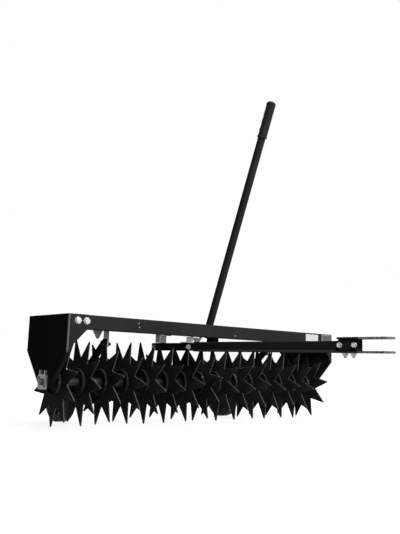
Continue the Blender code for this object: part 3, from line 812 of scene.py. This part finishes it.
class AERATOR_OT_wheels(MakerOperator, bpy.types.Operator):
    """Make the two transport wheels with hub, spokes and a crowned tread"""

    bl_idname = "aerator.wheels"
    bl_label = "Wheels"

    def make(self, scene):
        sizes = scene.aerator_wheel
        for side in ("left", "right"):
            spot = JOINTS[f"wheel_{side}_spin"]
            made = [wheel_tyre(sizes), wheel_hub(sizes)]
            made += [wheel_spoke(sizes, number) for number in range(sizes.spokes)]
            made = [placed(part, spot, X) for part in made]
            wheel = piece(f"wheel_{side}_moulded", made, "plastic", f"wheel_{side}", 40.0)
            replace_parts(wheel, f"wheel_{side}")


def wheel_tyre(sizes):
    """Rim and tread, turned, with two shallow grooves.

    The tread's radius falls off as the eighth power of the place across it.
    """
    across = np.linspace(-1, 1, 33)
    half, radius, rim = sizes.half_width, sizes.radius, sizes.rim
    crown_drop, groove_depth, groove_place, groove_width = 0.0012, 0.0011, 0.42, 0.06
    crown = radius - crown_drop * np.abs(across) ** 8
    right = np.exp(-(((across - groove_place) / groove_width) ** 2))
    left = np.exp(-(((across + groove_place) / groove_width) ** 2))
    groove = groove_depth * (right + left)
    tread = np.stack([crown - groove, half * across * (1 - 0.02 * np.abs(across) ** 8)], -1)
    side = [(radius - 0.006, half), (radius - 0.0075, half - 0.0012), (rim + 0.0015, half - 0.0004)]
    side += [(rim, half - 0.0018), (rim - 0.0012, sizes.web_half + 0.001)]
    side.append((rim - 0.0035, sizes.web_half - 0.0015))
    side = np.array(side)
    return turned(np.vstack([tread, side, side[::-1] * (1, -1)]), 96, closed=True)


def wheel_hub(sizes):
    """The hub tube, with chamfered mouths, a little thicker in the middle."""
    bore, hub, half, soft = sizes.bore, sizes.hub, sizes.hub_half, 0.0012
    end = [(bore, half - soft), (bore + soft, half), (hub - soft, half)]
    end = np.array([*end, (hub, half - soft), (hub + 0.001, 0.006)])
    return turned(np.vstack([end, end[::-1] * (1, -1)]), 64, closed=True)


def wheel_spoke(sizes, number):
    """A spoke of the moulded centre, from the hub to the rim.

    At the share s of its length its half width is w (1 + 1.6 s^6 + 1.2 (1 - s)^6), so that it flares at both
    ends, and at radius r it spans the angle asin(half width / r) to each side of its middle.
    """
    step = 2 * np.pi / sizes.spokes
    radius = np.linspace(sizes.hub - 0.002, sizes.rim - 0.001, 41)[:, None]
    share = (radius - radius[0]) / (radius[-1] - radius[0])
    width = sizes.spoke * (1 + 1.6 * share**6 + 1.2 * (1 - share) ** 6)
    spread = np.arcsin(np.clip(width / radius, 0, np.sin(step * 0.49)))
    angle = step * number + spread * np.linspace(-1, 1, 9)[None, :]
    half = sizes.web_half
    front = np.stack([radius * np.cos(angle), radius * np.sin(angle), np.full(angle.shape, half)], -1)
    back = front[:, ::-1] * (1, 1, -1)
    return shell(np.concatenate([front, back], axis=1))


# Places of the fittings, from the middle of the tine axle. A bolt's size is its width across flats and its
# washer's radius, and a round head's size is its radius and height.
FLANGE_FACE = 0.1215
FLANGE_BOLTS_X = (0.5405, 0.5128)
FLANGE_FRONT_Z, FLANGE_REAR_Z = 0.1718, 0.1763
FLANGE_BOLT = (0.0155, 0.0103)
RIVET_Y, RIVET_Z, RIVET = 0.0165, 0.0107, (0.0042, 0.0018)


class AERATOR_OT_plate_fittings(MakerOperator, bpy.types.Operator):
    """Make the bolts that hold the rails to the end plates' flanges, and the bearings' rivets"""

    bl_idname = "aerator.plate_fittings"
    bl_label = "End plate fittings"

    def make(self, scene):
        for side, sign in (("left", -1), ("right", 1)):
            for number, x in enumerate(FLANGE_BOLTS_X):
                if side == "left":
                    spot = from_axle(-x, -FLANGE_FACE, FLANGE_FRONT_Z)
                    front = bolt(spot, -Y, *FLANGE_BOLT, 0.3 + number)
                    plated(f"flange_bolt_front_{number + 1}", front)
                spot = from_axle(sign * x, FLANGE_FACE, FLANGE_REAR_Z)
                rear = bolt(spot, Y, *FLANGE_BOLT, 0.8 + number)
                plated(f"flange_bolt_{side}_rear_{number + 1}", rear)
            face = (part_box("axle_bearing_right")[1][0] - AXLE[0]) * sign
            for number, up in enumerate((1, -1)):
                rivet = dome_head(from_axle(face, up * RIVET_Y, up * RIVET_Z), X * sign, *RIVET)
                piece(f"bearing_rivet_{side}_{number + 1}", rivet, "paint", "frame")


# Each round head on the rail: x, z and radius
RAIL_HEADS = ((-0.333, 0.1765, 0.0026), (-0.331, 0.1645, 0.0026), (0.061, 0.1586, 0.0028))
RAIL_HEAD_HEIGHT = 0.0024
RAIL_HOLE_X, RAIL_HOLE_Z, RAIL_HOLE_RADIUS, RAIL_HOLE_DEPTH = 0.3387, 0.1717, 0.0046, 0.0001

# Each blank label: finish, the node on whose front it lies, width and height, x and z, and how far in front
LABELS = {
    "blank_label": ("label", "front_rail", (0.0705, 0.0250), (0.4550, 0.1725), 0.0002),
    "blank_badge_border": ("label", "end_plate_right", (0.0600, 0.0290), (0.5370, 0.1735), 0.0002),
    "blank_badge": ("badge", "end_plate_right", (0.0575, 0.0265), (0.5370, 0.1735), 0.0004),
}


class AERATOR_OT_rail_fittings(MakerOperator, bpy.types.Operator):
    """Make the front rail's round heads, a dark disc of painted shade for its hole, and the blank labels of the
    rail and the right end plate
    """

    bl_idname = "aerator.rail_fittings"
    bl_label = "Rail fittings"

    def make(self, scene):
        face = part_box("front_rail")[0][1] - AXLE[1]
        for number, (x, z, radius) in enumerate(RAIL_HEADS):
            head = dome_head(from_axle(x, face, z), -Y, radius, RAIL_HEAD_HEIGHT)
            plated(f"rail_bolt_{number + 1}", head, "zinc")
        # A thin dark disc on the rail's face: painted shade where the hole is.
        disc = turned([(RAIL_HOLE_RADIUS, 0), (RAIL_HOLE_RADIUS, RAIL_HOLE_DEPTH)], 32)
        hole = placed(disc, from_axle(RAIL_HOLE_X, face - RAIL_HOLE_DEPTH, RAIL_HOLE_Z), -Y)
        piece("rail_hole", hole, "hole", "frame")
        for name, (finish, node, size, (x, z), before) in LABELS.items():
            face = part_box(node)[0][1] - AXLE[1]
            label = placed(pillow_plate(*size), from_axle(x, face - before, z), -Y)
            piece(name, label, finish, "frame")


# Each bolt on the rear bar: finish, y and z, and size
REAR_BAR_BOLTS = {
    "drawbar_bolt_front": ("bright", (-0.092, 0.1155), (0.012, 0.0092)),
    "drawbar_bolt_rear": ("zinc", (0.091, 0.1145), (0.011, 0.0085)),
}


class AERATOR_OT_drawbar_fittings(MakerOperator, bpy.types.Operator):
    """Make the two bolts on the side of the drawbar's rear bar"""

    bl_idname = "aerator.drawbar_fittings"
    bl_label = "Drawbar fittings"

    def make(self, scene):
        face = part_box("drawbar_rear_bar")[0][0] - AXLE[0]
        for name, (finish, (y, z), size) in REAR_BAR_BOLTS.items():
            plated(name, bolt(from_axle(face, y, z), -X, *size), finish)


HITCH_X, HITCH_BOLTS_Y = -0.110, (-0.7013, -0.7272)
HITCH_HEAD, HITCH_NUT, HITCH_THREAD = (0.0085, 0.0030), (0.0125, 0.0098), 0.005
BLOCK_BOLTS_Y, BLOCK_Z, BLOCK_BOLT = (-0.6935, -0.7384), 0.1205, (0.0105, 0.0067)


class AERATOR_OT_hitch_fittings(MakerOperator, bpy.types.Operator):
    """Make the bolts that go down through the hitch straps and across the block"""

    bl_idname = "aerator.hitch_fittings"
    bl_label = "Hitch fittings"

    def make(self, scene):
        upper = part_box("hitch_strap_upper")[1][2] - AXLE[2]
        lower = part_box("hitch_strap_lower")[0][2] - AXLE[2]
        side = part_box("hitch_block")[0][0] - AXLE[0]
        for number, y in enumerate(HITCH_BOLTS_Y):
            head = dome_head(from_axle(HITCH_X, y, upper), Z, *HITCH_HEAD)
            plated(f"hitch_bolt_{number + 1}", head)
            under = nut(from_axle(HITCH_X, y, lower), -Z, *HITCH_NUT, 0.5 + number, HITCH_THREAD)
            plated(f"hitch_nut_{number + 1}", under)
        for number, y in enumerate(BLOCK_BOLTS_Y):
            head = bolt(from_axle(side, y, BLOCK_Z), -X, *BLOCK_BOLT, 0.4 + number)
            plated(f"block_bolt_{number + 1}", head)


HANGER_SHIFT = 0.383
CRANK_RISE = 0.012
CRANK_BOLT = (0.018, 0.0125)
WHEEL_NUT_ACROSS, WHEEL_NUT_HEIGHT, WHEEL_NUT_START = 0.0150, 0.0068, 0.0018
WHEEL_WASHER, WHEEL_WASHER_HOLE = 0.0115, 0.0055


class AERATOR_OT_lift_fittings(MakerOperator, bpy.types.Operator):
    """Make the middle shaft hanger, and the nuts and bolt heads of the lift gear and the wheels"""

    bl_idname = "aerator.lift_fittings"
    bl_label = "Lift fittings"

    def make(self, scene):
        plated("shaft_hanger_middle", middle_hanger())
        for side in ("left", "right"):
            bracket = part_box(f"arm_bracket_{side}")
            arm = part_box(f"wheel_arm_{side}")
            crank = (LIFT[1], bracket[0][2] + CRANK_RISE)
            spot = (bracket[1][0], *crank)
            piece(f"crank_nut_{side}", nut(spot, X), "paint", "lift")
            head = bolt((arm[0][0], *crank), -X, *CRANK_BOLT)
            piece(f"crank_bolt_{side}", head, "paint", "lift")
            wheel = JOINTS[f"wheel_{side}_spin"]
            spot = (arm[1][0], wheel[1], wheel[2])
            piece(f"wheel_nut_{side}", nut_ring(spot), "zinc", "lift")


def middle_hanger():
    """A third shaft hanger beside the lever's foot: the left one's surface, merged, and moved along X."""
    left = frame["nodes"]["shaft_hanger_left"].data
    corners = np.array([left.vertices[index].co for face in left.polygons for index in face.vertices])
    points, numbers = np.unique(np.round(corners, 6), axis=0, return_inverse=True)
    return points + HANGER_SHIFT * X, numbers.reshape(-1, 3).tolist()


def nut_ring(spot):
    """A nut and its washer round a bolt that the frame already has."""
    ring = hex_head(WHEEL_NUT_ACROSS, WHEEL_NUT_HEIGHT, WHEEL_NUT_START)
    return [placed(part, spot, X, 0.2) for part in (washer(WHEEL_WASHER, WHEEL_WASHER_HOLE), ring)]


FLOOR_HALF = 9.0
LIT_HEIGHT = 0.05

# Each lamp: its place from the lit point, the width of its disk, and the lit point's own shift
LIGHTS = {
    "key": ((0.9, -2.9, 1.9), 1.4, (0, 0, 0)),
    "top": ((0.3, -0.2, 3.0), 1.6, (0, 0, 0)),
    "fill": ((-0.62, -1.15, 1.05), 0.5, (-0.1, -0.35, 0)),
    "rear": ((1.5, 2.3, 1.7), 1.4, (0, 0, 0)),
}


class AERATOR_OT_stage(MakerOperator, bpy.types.Operator):
    """Set the pale floor, the soft lights and the camera"""

    bl_idname = "aerator.stage"
    bl_label = "Stage"

    def make(self, scene):
        settings = scene.aerator_stage
        floor_material = stage_material(scene.aerator_colours.backdrop)
        points = FLOOR_HALF * np.array([(-1, -1, 0), (1, -1, 0), (1, 1, 0), (-1, 1, 0)])
        mesh = bpy.data.meshes.new("floor")
        mesh.from_pydata(points.tolist(), [], [(0, 1, 2, 3)])
        mesh.materials.append(floor_material)
        floor = bpy.data.objects.new("floor", mesh)
        scene.collection.objects.link(floor)
        set_world(scene, settings.surround)
        for name, (offset, size, shift) in LIGHTS.items():
            middle = from_axle(0, 0, LIT_HEIGHT) + np.array(shift)
            add_light(scene, name, offset, size, getattr(settings, name), middle)
        add_camera(scene, settings)
        scene.view_settings.view_transform = "Standard"


def stage_material(tone):
    """A pale floor: white to the camera and mirrors, and a little greyer near the object as painted shade round
    it.
    """
    finish = Finish("stage_floor", Roughness=0.9, Specular_IOR_Level=0.0, Emission_Strength=1.0)
    finish.feed("Base Color", finish.mix(finish.noise(2.0), colour(tone, 0.99), colour(tone)))
    x, y, _ = finish.parts()
    # Painted shade: near the object the floor's glow drops from white to grey.
    grey_half, grey_full, grey_none = 0.5, 0.10, 0.42
    beside = ((x - AXLE[0]) * (x - AXLE[0])) ** 0.5 - grey_half
    beside, behind = beside * (beside > 0), y - AXLE[1]
    away = (beside * beside + behind * behind) ** 0.5
    white = finish.mix(away.step(grey_full, grey_none), (0.86, 0.86, 0.86, 1), (1, 1, 1, 1))
    finish.feed("Emission Color", finish.mix(seen_or_mirrored(finish), (0, 0, 0, 1), white))
    return finish.material


def seen_or_mirrored(finish):
    """1 for rays from the camera, off a mirror or through glass, and 0 for the others."""
    kinds = finish.node("ShaderNodeLightPath").socket.node.outputs
    names = ("Camera", "Glossy", "Transmission")
    camera, glossy, through = (Value(finish, kinds[f"Is {name} Ray"]) for name in names)
    return camera + glossy + through


def set_world(scene, strength):
    """White to the camera, mirrors and glass, and a faint surround to all other rays."""
    world = bpy.data.worlds.new("soft_surround")
    world.use_nodes = True
    tree = world.node_tree
    tree.nodes.clear()
    output = tree.nodes.new("ShaderNodeOutputWorld")
    mixer = tree.nodes.new("ShaderNodeMixShader")
    rays = tree.nodes.new("ShaderNodeLightPath")
    first, second = (tree.nodes.new("ShaderNodeMath") for _ in range(2))
    seen, light = (tree.nodes.new("ShaderNodeBackground") for _ in range(2))
    for shade, tint, power in ((seen, (1, 1, 1, 1), 1.0), (light, (0.97, 0.98, 1, 1), strength)):
        shade.inputs["Color"].default_value = tint
        shade.inputs["Strength"].default_value = power
    for source, target in (
        (rays.outputs["Is Camera Ray"], first.inputs[0]),
        (rays.outputs["Is Glossy Ray"], first.inputs[1]),
        (first.outputs[0], second.inputs[0]),
        (rays.outputs["Is Transmission Ray"], second.inputs[1]),
        (second.outputs[0], mixer.inputs[0]),
        (light.outputs[0], mixer.inputs[1]),
        (seen.outputs[0], mixer.inputs[2]),
        (mixer.outputs[0], output.inputs["Surface"]),
    ):
        tree.links.new(source, target)
    scene.world = world


def add_light(scene, name, offset, size, watts, middle):
    """A round area lamp at the offset from the middle, and turned to it."""
    data = bpy.data.lights.new(f"{name}_light", "AREA")
    data.shape = "DISK"
    data.size = size
    data.energy = watts
    lamp = bpy.data.objects.new(f"{name}_light", data)
    lamp.location = middle + np.array(offset)
    lamp.rotation_euler = (Vector(middle) - lamp.location).to_track_quat("-Z", "Y").to_euler()
    scene.collection.objects.link(lamp)


def add_camera(scene, settings):
    """Looks along +Y turned towards +X by the yaw, then up by the pitch, then rolled."""
    data = bpy.data.cameras.new("photo_camera")
    data.lens = settings.lens
    data.sensor_width = 36.0
    data.shift_x, data.shift_y = settings.shift
    data.clip_start, data.clip_end = 0.05, 60.0
    turn = Matrix.Rotation(-settings.yaw, 4, "Z") @ Matrix.Rotation(np.pi / 2 + settings.pitch, 4, "X")
    turn = turn @ Matrix.Rotation(settings.roll, 4, "Z")
    camera = bpy.data.objects.new("photo_camera", data)
    camera.matrix_world = Matrix.Translation(from_axle(*settings.place)) @ turn
    scene.collection.objects.link(camera)
    scene.camera = camera


OPERATORS = (
    AERATOR_OT_finishes,
    AERATOR_OT_stars,
    AERATOR_OT_spindle,
    AERATOR_OT_lever,
    AERATOR_OT_wheels,
    AERATOR_OT_plate_fittings,
    AERATOR_OT_rail_fittings,
    AERATOR_OT_drawbar_fittings,
    AERATOR_OT_hitch_fittings,
    AERATOR_OT_lift_fittings,
    AERATOR_OT_stage,
)


class AERATOR_PT_looks(bpy.types.Panel):
    """Lists the operators in the sidebar"""

    bl_idname = "AERATOR_PT_looks"
    bl_label = "Spike Aerator"
    bl_space_type = "VIEW_3D"
    bl_region_type = "UI"
    bl_category = "Aerator"

    def draw(self, context):
        for operator in OPERATORS:
            self.layout.operator(operator.bl_idname)


SETTINGS = {
    "aerator_star": StarSettings,
    "aerator_lever": LeverSettings,
    "aerator_wheel": WheelSettings,
    "aerator_colours": ColourSettings,
    "aerator_stage": StageSettings,
}


def register():
    for kind in (*SETTINGS.values(), *OPERATORS, AERATOR_PT_looks):
        bpy.utils.register_class(kind)
    for name, kind in SETTINGS.items():
        setattr(bpy.types.Scene, name, bpy.props.PointerProperty(type=kind))


def unregister():
    for name in SETTINGS:
        delattr(bpy.types.Scene, name)
    for kind in (AERATOR_PT_looks, *reversed(OPERATORS), *SETTINGS.values()):
        bpy.utils.unregister_class(kind)


def main():
    register()
    bpy.ops.aerator.finishes()
    bpy.ops.aerator.stars()
    bpy.ops.aerator.spindle()
    bpy.ops.aerator.lever()
    bpy.ops.aerator.wheels()
    bpy.ops.aerator.plate_fittings()
    bpy.ops.aerator.rail_fittings()
    bpy.ops.aerator.drawbar_fittings()
    bpy.ops.aerator.hitch_fittings()
    bpy.ops.aerator.lift_fittings()
    bpy.ops.aerator.stage()


if __name__ == "__main__":
    main()
